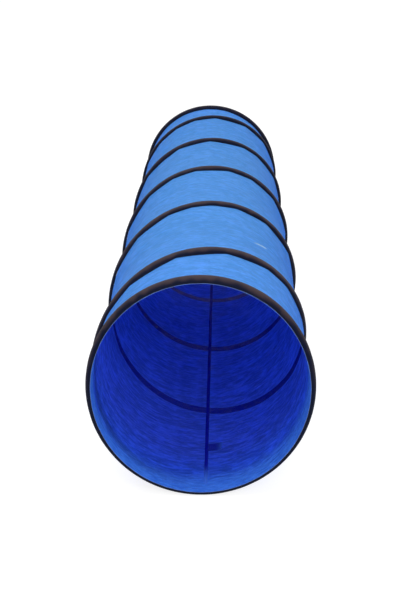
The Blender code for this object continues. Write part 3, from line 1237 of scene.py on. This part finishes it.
@dataclass
class SewnCasing:
    """A dark strip sewn over a wire: its path, its section, and how it puckers along its stitches."""

    shape: ClothShape
    profile: StripProfile
    seed: int
    station_spacing: float = 0.005
    pucker_spacing: float = 0.017
    open_cells: int = 512
    pucker: float = 0.35 * MM
    edge_wander: float = 0.45 * MM

    def wall(self, turns: np.ndarray, middle: np.ndarray, closed: bool) -> Wall:
        """The strip's wall along these stations.

        Args:
            turns: Angle of each station, counted on through the coil's turns.
            middle: Where the strip's middle lies along the bore at each station.
            closed: Whether the last station joins the first one.

        Returns:
            The wall.
        """
        layout = self.shape.layout
        across, lift, arch, inner_across = self.profile.places()
        edge = self.profile.width / 2
        crest = layout.outer_radius
        length = crest * turns
        wobble = self._wobble(turns, across, closed)
        wander = np.abs(across / edge)[None] ** 2 * np.sign(across)[None] * wobble * self.edge_wander
        places = middle[:, None] + across[None] + wander
        inner_places = middle[:, None] + inner_across[None] + wander
        base = self._base(turns, middle, across)
        inner_base = self._base(turns, middle, inner_across)
        soft = 1.0 + (wobble * self.pucker / self.profile.height) * (1.0 - np.abs(arch[None] - 0.75))
        tall = (crest - base) * arch[None] * np.minimum(soft, 1.0)
        outer_radius = base + lift[None] * (1.0 - arch[None]) + tall
        inner_tall = crest - self.profile.wall - inner_base
        inner_radius = inner_base + np.maximum(inner_tall * arch[None] * np.minimum(soft, 1.0), 0.0)
        outer = layout.point(turns[:, None], outer_radius, places)
        inner = layout.point(turns[:, None], inner_radius, inner_places)
        run = np.append(length, TAU * crest + length[0]) if closed else length
        # How far up the arch a point lies, which the webbing's painted highlight follows.
        crease = np.clip(arch[None] * 1.3 - 0.3 + 0.3 * wobble, -1.0, 1.0)
        crease = np.broadcast_to(crease, outer.shape[:2])
        return Wall(outer, inner, flat_grid(run, across), closed, crease)

    def _wobble(self, turns: np.ndarray, across: np.ndarray, closed: bool) -> np.ndarray:
        """How its stitches pull the strip out or in, from -1 to 1, with its front and its back edge apart."""
        puckers = self.shape.layout.girth / self.pucker_spacing
        cells = round(puckers) if closed else self.open_cells
        steps = turns / TAU * (cells if closed else puckers)
        side = np.sign(across)[None] * 0.5 + 0.5
        front = lattice(cells, steps, 3.0, self.seed)[:, None]
        back = lattice(cells, steps, 8.0, self.seed + 1)[:, None]
        return front * (1.0 - side) + back * side

    def _base(self, turns: np.ndarray, middle: np.ndarray, across: np.ndarray) -> np.ndarray:
        """The radius of the strip's underside, which lies on the cloth."""
        return self.shape.radius(turns[:, None], middle[:, None] + across[None]) + 0.1 * MM

    def stitch_lines(self, turns: np.ndarray, middle: np.ndarray) -> list[np.ndarray]:
        """Where the two rows of stitches run, as points on the strip's flanges."""
        outer = self.wall(turns, middle, closed=False).outer
        return [outer[:, self.profile.groove], outer[:, -1 - self.profile.groove]]


@dataclass
class CoilCasing:
    """The dark casing over the helical wire, one piece for each of its turns."""

    shape: ClothShape
    finishes: Finishes

    def __post_init__(self) -> None:
        """Set up the strip that every turn is made of."""
        layout = self.shape.layout
        self.strip = SewnCasing(
            self.shape,
            StripProfile(layout.casing_width, layout.casing_height, layout.wall),
            seed=301,
        )

    def stations(self, number: int) -> tuple[np.ndarray, np.ndarray]:
        """The angles of one turn, and where the coil is along the bore at each."""
        layout = self.shape.layout
        gap = HALF_SPLIT / layout.outer_radius
        start = layout.coil_start + TAU * (number - 1) + gap
        count = round(layout.girth / self.strip.station_spacing)
        turns = np.linspace(start, start + TAU - 2 * gap, count + 1)
        return turns, layout.coil_along(turns)

    def build(self) -> list[bpy.types.Object]:
        """Build the casing of every turn."""
        layout = self.shape.layout
        pieces = []
        for number in layout.numbers:
            wall = self.strip.wall(*self.stations(number), closed=False)
            piece = wall.build(f"casing_turn_{number}", self.finishes.webbing)
            if number == 1:
                cut_square(piece, layout.front_plane + layout.hem_reach, keep_behind=True)
            if number == layout.turns:
                cut_square(piece, layout.front_plane + layout.length - layout.hem_reach, keep_behind=False)
            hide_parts(f"coil_casing_{number}")
            pieces.append(dress(piece, layout.body(number), layout, number))
        return pieces

    def stitch_lines(self, number: int) -> list[np.ndarray]:
        """The stitch rows of one turn, clear of the hems."""
        layout = self.shape.layout
        reach = layout.hem_reach + 2 * MM
        lines = []
        for line in self.strip.stitch_lines(*self.stations(number)):
            along = line[:, 1] - layout.front_plane
            lines.append(line[(along > reach) & (along < layout.length - reach)])
        return lines


@dataclass
class MouthHem:
    """The dark hem round one mouth, over its wire hoop, with the cloth's turned edge showing inside it."""

    shape: ClothShape
    finishes: Finishes
    end: End
    bead: float = 1.0 * MM
    bead_stations: int = 240
    bead_sides: int = 8
    bead_puckers: int = 120
    bead_waver: float = 0.25 * MM
    bead_inset: float = 0.3 * MM

    def __post_init__(self) -> None:
        """Set up the hem's strip and where its hoop lies."""
        layout = self.shape.layout
        self.along = 0.0 if self.end is End.FRONT else layout.length
        self.strip = SewnCasing(
            self.shape,
            StripProfile(layout.hem_width, layout.hem_height, layout.wall),
            seed=401 if self.end is End.FRONT else 411,
            pucker=0.30 * MM,
            edge_wander=0.25 * MM,
        )

    def stations(self) -> tuple[np.ndarray, np.ndarray]:
        """The hem's angles once round the mouth, and its place along the bore."""
        count = round(self.shape.layout.girth / self.strip.station_spacing)
        turns = TAU * np.arange(count) / count
        return turns, np.full(count, self.along)

    def build(self) -> list[bpy.types.Object]:
        """Build the hem and the turned edge."""
        wall = self.strip.wall(*self.stations(), closed=True)
        hem = wall.build(f"{self.end.value}_hem", self.finishes.webbing)
        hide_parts(f"{self.end.value}_hem_casing")
        dress(hem, self.end.body)
        return [hem, self._edge()]

    def _edge(self) -> bpy.types.Object:
        """The rolled edge of the cloth at the mouth."""
        layout = self.shape.layout
        way = -1.0 if self.end is End.FRONT else 1.0
        turns = TAU * np.arange(self.bead_stations) / self.bead_stations
        corners = TAU * np.arange(self.bead_sides) / self.bead_sides
        middle = self.along + way * (layout.hem_width / 2 + self.bead / 2)
        ring = layout.mouth_radius - self.bead_inset
        waver = self.bead_waver * lattice(self.bead_puckers, turns / TAU * self.bead_puckers, 2.0, 431)
        radius = ring + waver[:, None] + self.bead / 2 * np.cos(corners)[None]
        along = np.broadcast_to(middle - self.bead / 2 * np.sin(corners)[None], radius.shape)
        points = layout.point(turns[:, None], radius, along)
        run = np.append(turns, TAU) * layout.mouth_radius
        flat = flat_grid(run, corners * self.bead / 2)
        piece = ring_of(f"{self.end.value}_turned_edge", points, flat, self.finishes.edge)
        return dress(piece, self.end.body)

    def stitch_lines(self) -> list[np.ndarray]:
        """The hem's two rows of stitches, each closed on itself."""
        turns, middle = self.stations()
        return self.strip.stitch_lines(np.append(turns, TAU), np.append(middle, self.along))


def ring_of(name: str, points: np.ndarray, flat: np.ndarray, material: bpy.types.Material) -> bpy.types.Object:
    """A solid ring swept from a closed section.

    Args:
        name: The piece's name.
        points: Points by station and by corner of the section.
        flat: The flat map by station, with one more station than the points, and by corner.
        material: The ring's material.

    Returns:
        The object, linked to the scene.
    """
    mesh = mapped_mesh(name, points, *swept_faces(len(points), len(points), flat))
    mesh.materials.append(material)
    bm = bmesh.new()
    bm.from_mesh(mesh)
    bmesh.ops.recalc_face_normals(bm, faces=bm.faces)
    bm.to_mesh(mesh)
    bm.free()
    mesh.shade_smooth()
    return linked(name, mesh)


@dataclass(frozen=True)
class GrowingTree:
    """A geometry node tree with named inputs, and the way to run it on an object."""

    tree: bpy.types.NodeTree
    names: dict[str, str]

    @classmethod
    def start(cls, name: str, kinds: Mapping[str, str]) -> GrowingTree:
        """Start a tree that gives geometry.

        Args:
            name: The tree's name.
            kinds: The name of each of its inputs, and the last word of its socket's type.

        Returns:
            The tree with its sockets, and with no node yet.
        """
        tree = bpy.data.node_groups.new(name, "GeometryNodeTree")
        names = {}
        for label, kind in kinds.items():
            socket = tree.interface.new_socket(label, in_out="INPUT", socket_type=f"NodeSocket{kind}")
            names[label] = socket.identifier
        tree.interface.new_socket("Geometry", in_out="OUTPUT", socket_type="NodeSocketGeometry")
        return cls(tree, names)

    def grow(self, source: bpy.types.Object, values: Mapping[str, object], name: str) -> bpy.types.Object:
        """Run the tree on an object and keep the result as a plain mesh.

        Args:
            source: The object that the tree starts from, which is removed.
            values: The tree's inputs by name.
            name: The new piece's name.

        Returns:
            The new object, linked to the scene.
        """
        modifier = source.modifiers.new("grow", "NODES")
        modifier.node_group = self.tree
        for label, value in values.items():
            modifier[self.names[label]] = value
        source.update_tag()
        graph = bpy.context.evaluated_depsgraph_get()
        mesh = bpy.data.meshes.new_from_object(source.evaluated_get(graph), depsgraph=graph)
        source.modifiers.remove(modifier)
        bpy.data.objects.remove(source)
        mesh.name = name
        return linked(name, mesh)


@dataclass
class SpringWire:
    """The helical spring wire, made turn by turn from its pitch, radius and gauge."""

    layout: TunnelLayout
    finishes: Finishes
    points_per_turn: int = 181
    sides: int = 12

    def _tree(self) -> GrowingTree:
        """Build the node tree of a stretch of helical wire."""
        angles = dict.fromkeys(("First Angle", "Last Angle", "Start Angle"), "Float")
        sizes = dict.fromkeys(("Pitch", "Coil Radius", "Wire Diameter", "Axis Height", "Front Plane"), "Float")
        made = GrowingTree.start("helical_wire", {"Points": "Int", **angles, **sizes, "Material": "Material"})
        graph = Graph(made.tree)
        given = graph.node("NodeGroupInput")
        ask = {name: Value(graph, given.outputs[name]) for name in made.names}
        line = graph.node("GeometryNodeMeshLine", inputs={"Count": ask["Points"]})
        path = graph.node("GeometryNodeMeshToCurve", inputs={"Mesh": line.outputs[0]})
        index = Value(graph, graph.node("GeometryNodeInputIndex").outputs[0])
        share = index / (ask["Points"] - 1.0)
        angle = ask["First Angle"] + (ask["Last Angle"] - ask["First Angle"]) * share
        place = graph.vector(
            ask["Coil Radius"] * angle.sine() * -1.0,
            ask["Front Plane"] + ask["Pitch"] * (angle - ask["Start Angle"]) / TAU,
            ask["Axis Height"] - ask["Coil Radius"] * angle.cosine(),
        )
        placed = graph.node("GeometryNodeSetPosition", inputs={"Geometry": path.outputs[0], "Position": place})
        section = graph.node(
            "GeometryNodeCurvePrimitiveCircle",
            inputs={"Resolution": self.sides, "Radius": ask["Wire Diameter"] / 2.0},
        )
        swept = graph.node(
            "GeometryNodeCurveToMesh",
            inputs={"Curve": placed.outputs[0], "Profile Curve": section.outputs[0], "Fill Caps": True},
        )
        smooth = graph.node("GeometryNodeSetShadeSmooth", inputs={"Geometry": swept.outputs[0]})
        whole = graph.node("GeometryNodeRealizeInstances", inputs={"Geometry": smooth.outputs[0]})
        finished = graph.node(
            "GeometryNodeSetMaterial", inputs={"Geometry": whole.outputs[0], "Material": ask["Material"]}
        )
        graph.node("NodeGroupOutput", inputs={0: finished.outputs[0]})
        return made

    def build(self) -> list[bpy.types.Object]:
        """Build every turn of the wire."""
        layout = self.layout
        tree = self._tree()
        radius = layout.coil_radius
        reach = layout.hem_reach + layout.wire_diameter / 2
        gap = layout.clearance / 2 / radius
        pieces = []
        for number in layout.numbers:
            start = layout.coil_start + TAU * (number - 1)
            values = {
                "Points": self.points_per_turn,
                "First Angle": max(start + gap, layout.coil_turn(reach)),
                "Last Angle": min(start + TAU - gap, layout.coil_turn(layout.length - reach)),
                "Start Angle": layout.coil_start,
                "Pitch": layout.pitch,
                "Coil Radius": radius,
                "Wire Diameter": layout.wire_diameter,
                "Axis Height": layout.axis_height,
                "Front Plane": layout.front_plane,
                "Material": self.finishes.steel,
            }
            seed = linked("wire_seed", bpy.data.meshes.new("wire_seed"))
            piece = tree.grow(seed, values, f"wire_turn_{number}")
            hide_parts(f"coil_turn_{number}")
            pieces.append(dress(piece, layout.body(number), layout, number))
        return pieces


@dataclass
class Stitching:
    """Rows of thread stitches along paths on the cloth."""

    length: float = 3.1 * MM
    spacing: float = 4.4 * MM
    thread: float = 0.55 * MM

    def __post_init__(self) -> None:
        """Build the stitch tree once."""
        self.tree = self._tree()

    def _tree(self) -> GrowingTree:
        """Build the node tree that lays stitches along a path."""
        sizes = dict.fromkeys(("Stitch Length", "Stitch Spacing", "Thread Diameter"), "Float")
        made = GrowingTree.start("stitches", {"Path": "Geometry", **sizes, "Material": "Material"})
        graph = Graph(made.tree)
        given = graph.node("NodeGroupInput")
        ask = {name: given.outputs[name] for name in made.names}
        path = graph.node("GeometryNodeMeshToCurve", inputs={"Mesh": ask["Path"]})
        spaced = graph.node(
            "GeometryNodeResampleCurve",
            {"mode": "LENGTH"},
            {"Curve": path.outputs[0], "Length": ask["Stitch Spacing"]},
        )
        tangent = graph.node("GeometryNodeInputTangent").outputs[0]
        turned = graph.node("FunctionNodeAlignRotationToVector", {"axis": "Z"}, {"Vector": tangent})
        ball = graph.node("GeometryNodeMeshUVSphere", inputs={"Segments": 6, "Rings": 4, "Radius": 0.5})
        size = graph.vector(ask["Thread Diameter"], ask["Thread Diameter"], ask["Stitch Length"])
        stitch = graph.node("GeometryNodeTransform", inputs={"Geometry": ball.outputs[0], "Scale": size})
        laid = graph.node(
            "GeometryNodeInstanceOnPoints",
            inputs={"Points": spaced.outputs[0], "Instance": stitch.outputs[0], "Rotation": turned.outputs[0]},
        )
        whole = graph.node("GeometryNodeRealizeInstances", inputs={"Geometry": laid.outputs[0]})
        smooth = graph.node("GeometryNodeSetShadeSmooth", inputs={"Geometry": whole.outputs[0]})
        finished = graph.node(
            "GeometryNodeSetMaterial", inputs={"Geometry": smooth.outputs[0], "Material": ask["Material"]}
        )
        graph.node("NodeGroupOutput", inputs={0: finished.outputs[0]})
        return made

    def sew(self, name: str, lines: Sequence[np.ndarray], thread: bpy.types.Material) -> bpy.types.Object:
        """Lay stitches along these lines.

        Args:
            name: The piece's name.
            lines: One array of points for each row.
            thread: The thread's material.

        Returns:
            One object with every stitch.
        """
        points, edges, start = [], [], 0
        for line in lines:
            points += line.tolist()
            edges += [(start + step, start + step + 1) for step in range(len(line) - 1)]
            start += len(line)
        mesh = bpy.data.meshes.new("stitch_path")
        mesh.from_pydata(points, edges, [])
        values = {
            "Stitch Length": self.length,
            "Stitch Spacing": self.spacing,
            "Thread Diameter": self.thread,
            "Material": thread,
        }
        return self.tree.grow(linked("stitch_path", mesh), values, name)


@dataclass
class SeamTape:
    """The dark tape that binds the tube's one long seam, inside along the foot.

    Its section is given by shares of half its width from the middle outwards, and by shares of its thickness
    there. It dips where the two rows of stitches run.
    """

    shape: ClothShape
    finishes: Finishes
    width: float = 0.010
    thickness: float = 0.0010
    inset: float = 0.0011
    spacing: float = 0.004
    half_across: tuple[float, ...] = (0.25, 0.5, 0.75, 0.93, 1.0)
    half_crown: tuple[float, ...] = (1.0, 0.82, 1.0, 0.75, 0.35)
    middle_crown: float = 1.06
    waver: float = 0.35 * MM
    ripple: float = 0.22 * MM
    ripple_pitch: float = 0.007

    def _strip(self, start: float, end: float) -> Wall:
        """The tape's wall between two places along the bore."""
        layout = self.shape.layout
        rows = max(2, round((end - start) / self.spacing))
        along = np.linspace(start, end, rows + 1)
        half, rise = np.array(self.half_across), np.array(self.half_crown)
        across = np.concatenate([-half[::-1], [0.0], half]) * self.width / 2
        crown = np.concatenate([rise[::-1], [self.middle_crown], rise]) * self.thickness
        waver = self.waver * lattice(64, along * 14.0 % 64, 1.0, 501)
        ripple = self.ripple * lattice(512, along / self.ripple_pitch % 512, 2.0, 502)
        angle = layout.seam_angle + (across[:, None] + waver[None]) / layout.cloth_radius
        top = self.shape.radius(angle, along[None]) - self.inset
        outer = layout.point(angle, top, along[None])
        inner = layout.point(angle, top - crown[:, None] - ripple[None], along[None])
        return Wall(outer, inner, flat_grid(across, along), closed=False)

    def build(self) -> list[bpy.types.Object]:
        """Build the tape of every section."""
        layout = self.shape.layout
        pieces = []
        for number in layout.numbers:
            start, end = layout.section(number)
            strip = self._strip(start + HALF_SPLIT, end - HALF_SPLIT)
            piece = strip.build(f"tape_section_{number}", self.finishes.tape)
            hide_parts(f"seam_tape_{number}")
            end - start
            pieces.append(dress(piece, layout.body(number), layout, number))
        return pieces

    def stitch_lines(self, number: int) -> list[np.ndarray]:
        """The two rows of stitches through one section of tape, on its face and outside the tube."""
        layout = self.shape.layout
        start, end = layout.section(number)
        along = np.arange(start + 3 * MM, end - 2 * MM, 4 * MM)
        lines = []
        for side in (-1.0, 1.0):
            angle = layout.seam_angle + side * self.width / 4 / layout.cloth_radius
            radius = self.shape.radius(np.full_like(along, angle), along)
            lines.append(layout.point(angle, radius - self.inset - self.thickness * 0.85, along))
            lines.append(layout.point(angle, radius, along))
        return lines


@dataclass
class SeamTab:
    """The plain dark tab that is sewn in beside the seam, a hand's length inside the front mouth."""

    shape: ClothShape
    finishes: Finishes
    start: float = 0.252
    length: float = 0.050
    width: float = 0.040
    thickness: float = 0.0007
    inset: float = 0.0022
    beside_seam: float = 5.5 * MM
    stitched_in: float = 3.0 * MM
    corner: float = 0.12
    curl: float = 2.4 * MM
    ripple: float = 0.5 * MM

    def build(self) -> bpy.types.Object:
        """Build the tab."""
        layout = self.shape.layout
        near = layout.seam_angle - self.beside_seam / layout.cloth_radius
        share, place = np.meshgrid(np.linspace(0.0, 1.0, 17), np.linspace(0.0, 1.0, 21), indexing="ij")
        tuck = np.maximum(share - (1.0 - self.corner), 0.0) / self.corner
        squeeze = 1.0 - 0.10 * tuck**2
        y = self.start + self.length * (0.5 + (place - 0.5) * squeeze)
        angle = near - self.width * share / layout.cloth_radius
        curl = self.curl * share**2.5 + self.ripple * np.sin(place * math.pi * 2.0) * share
        radius = self.shape.radius(angle, y) - self.inset - curl
        outer = layout.point(angle, radius, y)[::-1]
        inner = layout.point(angle, radius - self.thickness, y)[::-1]
        flat = np.stack([share * self.width, place * self.length], axis=-1)[::-1]
        piece = Wall(outer, inner, flat, closed=False).build("seam_tab_cloth", self.finishes.tab)
        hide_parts("seam_tab")
        return dress(piece, "front_end", layout, 1)

    def stitch_line(self) -> np.ndarray:
        """The row of stitches that holds the tab beside the seam."""
        layout = self.shape.layout
        along = np.linspace(self.start + self.stitched_in, self.start + self.length - self.stitched_in, 16)
        off_seam = self.beside_seam + self.stitched_in
        angle = np.full_like(along, layout.seam_angle - off_seam / layout.cloth_radius)
        radius = self.shape.radius(angle, along) - self.inset - self.thickness
        return layout.point(angle, radius, along)


def dress(
    piece: bpy.types.Object,
    body: str,
    layout: TunnelLayout | None = None,
    number: int | None = None,
) -> bpy.types.Object:
    """Give a piece its body, and a piece of a section a mesh of its own.

    Args:
        piece: The finished piece.
        body: The body that it rides on.
        layout: The tunnel's sizes, for a piece of a section.
        number: The section that it belongs to.

    Returns:
        The same piece.
    """
    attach(piece, body)
    if layout is not None and number is not None:
        plane = layout.front_plane + layout.section(number)[0]
        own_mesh(piece)
    log.info("%s rides on %s: %d faces", piece.name, body, len(piece.data.polygons))
    return piece


# Studio


@dataclass(frozen=True)
class Softbox:
    """One broad soft lamp."""

    name: str
    power: float
    size: tuple[float, float]
    place: tuple[float, float, float]
    aim: tuple[float, float, float]

    def build(self) -> None:
        """Make the lamp and point it at its aim."""
        lamp = bpy.data.lights.new(self.name, "AREA")
        lamp.shape = "RECTANGLE"
        lamp.size, lamp.size_y = self.size
        lamp.energy = self.power
        stand = linked(self.name, lamp)
        stand.location = self.place
        way = Vector(self.aim) - Vector(self.place)
        stand.rotation_euler = way.to_track_quat("-Z", "Y").to_euler()


@dataclass
class Studio:
    """A plain pale floor, soft light from above and all round, and the camera at the photograph's place."""

    camera_place: tuple[float, float, float] = (0.0529, -4.9142, 1.5084)
    yaw: float = 0.01574
    pitch: float = -0.28048
    focal_pixels: float = 1383.28
    picture_height: int = 601
    sensor: float = 36.0
    floor_size: float = 90.0
    floor_drop: float = 0.0005
    sky_strength: float = 0.62
    lamps: tuple[Softbox, ...] = (
        Softbox("overhead_softbox", 180.0, (5.0, 7.0), (-0.4, -0.6, 4.6), (0.0, 0.0, 0.3)),
        Softbox("front_softbox", 135.0, (3.0, 2.0), (0.9, -6.0, 2.9), (0.0, -1.2, 0.2)),
    )

    def build(self) -> None:
        """Make the floor, the light and the camera."""
        self._floor()
        self._world()
        for lamp in self.lamps:
            lamp.build()
        self._camera()
        bpy.context.scene.view_settings.view_transform = "Standard"

    def _floor(self) -> None:
        """A wide floor just under the tunnel."""
        half = self.floor_size / 2
        corners = [(-half, -half), (half, -half), (half, half), (-half, half)]
        mesh = bpy.data.meshes.new("studio_floor")
        mesh.from_pydata([(x, y, -self.floor_drop) for x, y in corners], [], [(0, 1, 2, 3)])
        mesh.materials.append(FloorFinish().build())
        linked("studio_floor", mesh)

    def _world(self) -> None:
        """Pale light from all round, which the camera sees as white."""
        world = bpy.data.worlds.new("studio_light")
        bpy.context.scene.world = world
        world.use_nodes = True
        graph = Graph(world.node_tree)
        light = world.node_tree.nodes["Background"]
        graph.fill(light, {"Color": WHITE, "Strength": self.sky_strength})
        white = graph.node("ShaderNodeBackground", inputs={"Color": WHITE, "Strength": 1.0})
        graph.show(graph.seen_plain(), light, white, "World Output")

    def _camera(self) -> None:
        """The camera, level and a little above the mouth, looking down into it."""
        data = bpy.data.cameras.new("camera")
        data.sensor_fit = "AUTO"
        data.sensor_width = self.sensor
        data.lens = self.focal_pixels / self.picture_height * self.sensor
        data.clip_end = 200.0
        camera = linked("camera", data)
        turn = Matrix.Rotation(self.yaw, 3, "Z") @ Matrix.Rotation(self.pitch, 3, "X")
        right, forward, up = (turn.col[axis] for axis in range(3))
        facing = Matrix((right, up, -forward)).transposed().to_4x4()
        camera.matrix_world = Matrix.Translation(self.camera_place) @ facing
        bpy.context.scene.camera = camera


def finish_wires(frame: Mapping[str, Mapping[str, bpy.types.Object]], finishes: Finishes) -> None:
    """Give the hoops' CAD wires and ferrules their metal."""
    for end in End:
        for node, material in (("hoop_wire", finishes.steel), ("hoop_ferrule", finishes.ferrule)):
            data = frame["nodes"][f"{end.value}_{node}"].data
            data.materials.clear()
            data.materials.append(material)


def sew_everything(
    casing: CoilCasing, hems: Sequence[MouthHem], tape: SeamTape, tab: SeamTab
) -> list[bpy.types.Object]:
    """Sew the casings, hems, tape and tab down.

    Args:
        casing: The coil's casing.
        hems: The hems of both mouths.
        tape: The seam's tape.
        tab: The tab beside the seam, whose stitches go with the first section's.

    Returns:
        Every piece of stitches.
    """
    layout, finishes = casing.shape.layout, casing.finishes
    stitching = Stitching()
    pieces = []
    for number in layout.numbers:
        piece = stitching.sew(f"casing_stitches_{number}", casing.stitch_lines(number), finishes.dark_thread)
        pieces.append(dress(piece, layout.body(number), layout, number))
        lines = tape.stitch_lines(number)
        if number == 1:
            lines.append(tab.stitch_line())
        piece = stitching.sew(f"seam_stitches_{number}", lines, finishes.navy_thread)
        pieces.append(dress(piece, layout.body(number), layout, number))
    for hem in hems:
        piece = stitching.sew(f"{hem.end.value}_hem_stitches", hem.stitch_lines(), finishes.dark_thread)
        pieces.append(dress(piece, hem.end.body))
    return pieces


def main() -> None:
    """Build the tunnel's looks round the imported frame."""
    logging.basicConfig(level=logging.INFO, format="%(message)s")
    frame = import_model()
    layout = TunnelLayout.from_frame()
    Studio().build()
    finishes = Finishes(layout)
    shape = ClothShape(layout)
    finish_wires(frame, finishes)
    pieces = ClothTube(shape, finishes).build()
    casing = CoilCasing(shape, finishes)
    pieces += casing.build()
    hems = [MouthHem(shape, finishes, end) for end in End]
    for hem in hems:
        pieces += hem.build()
    pieces += SpringWire(layout, finishes).build()
    tape = SeamTape(shape, finishes)
    pieces += tape.build()
    tab = SeamTab(shape, finishes)
    pieces.append(tab.build())
    pieces += sew_everything(casing, hems, tape, tab)
    log.info("%d pieces stand round the frame's own hoop wires and ferrules", len(pieces))


if __name__ == "__main__":
    main()
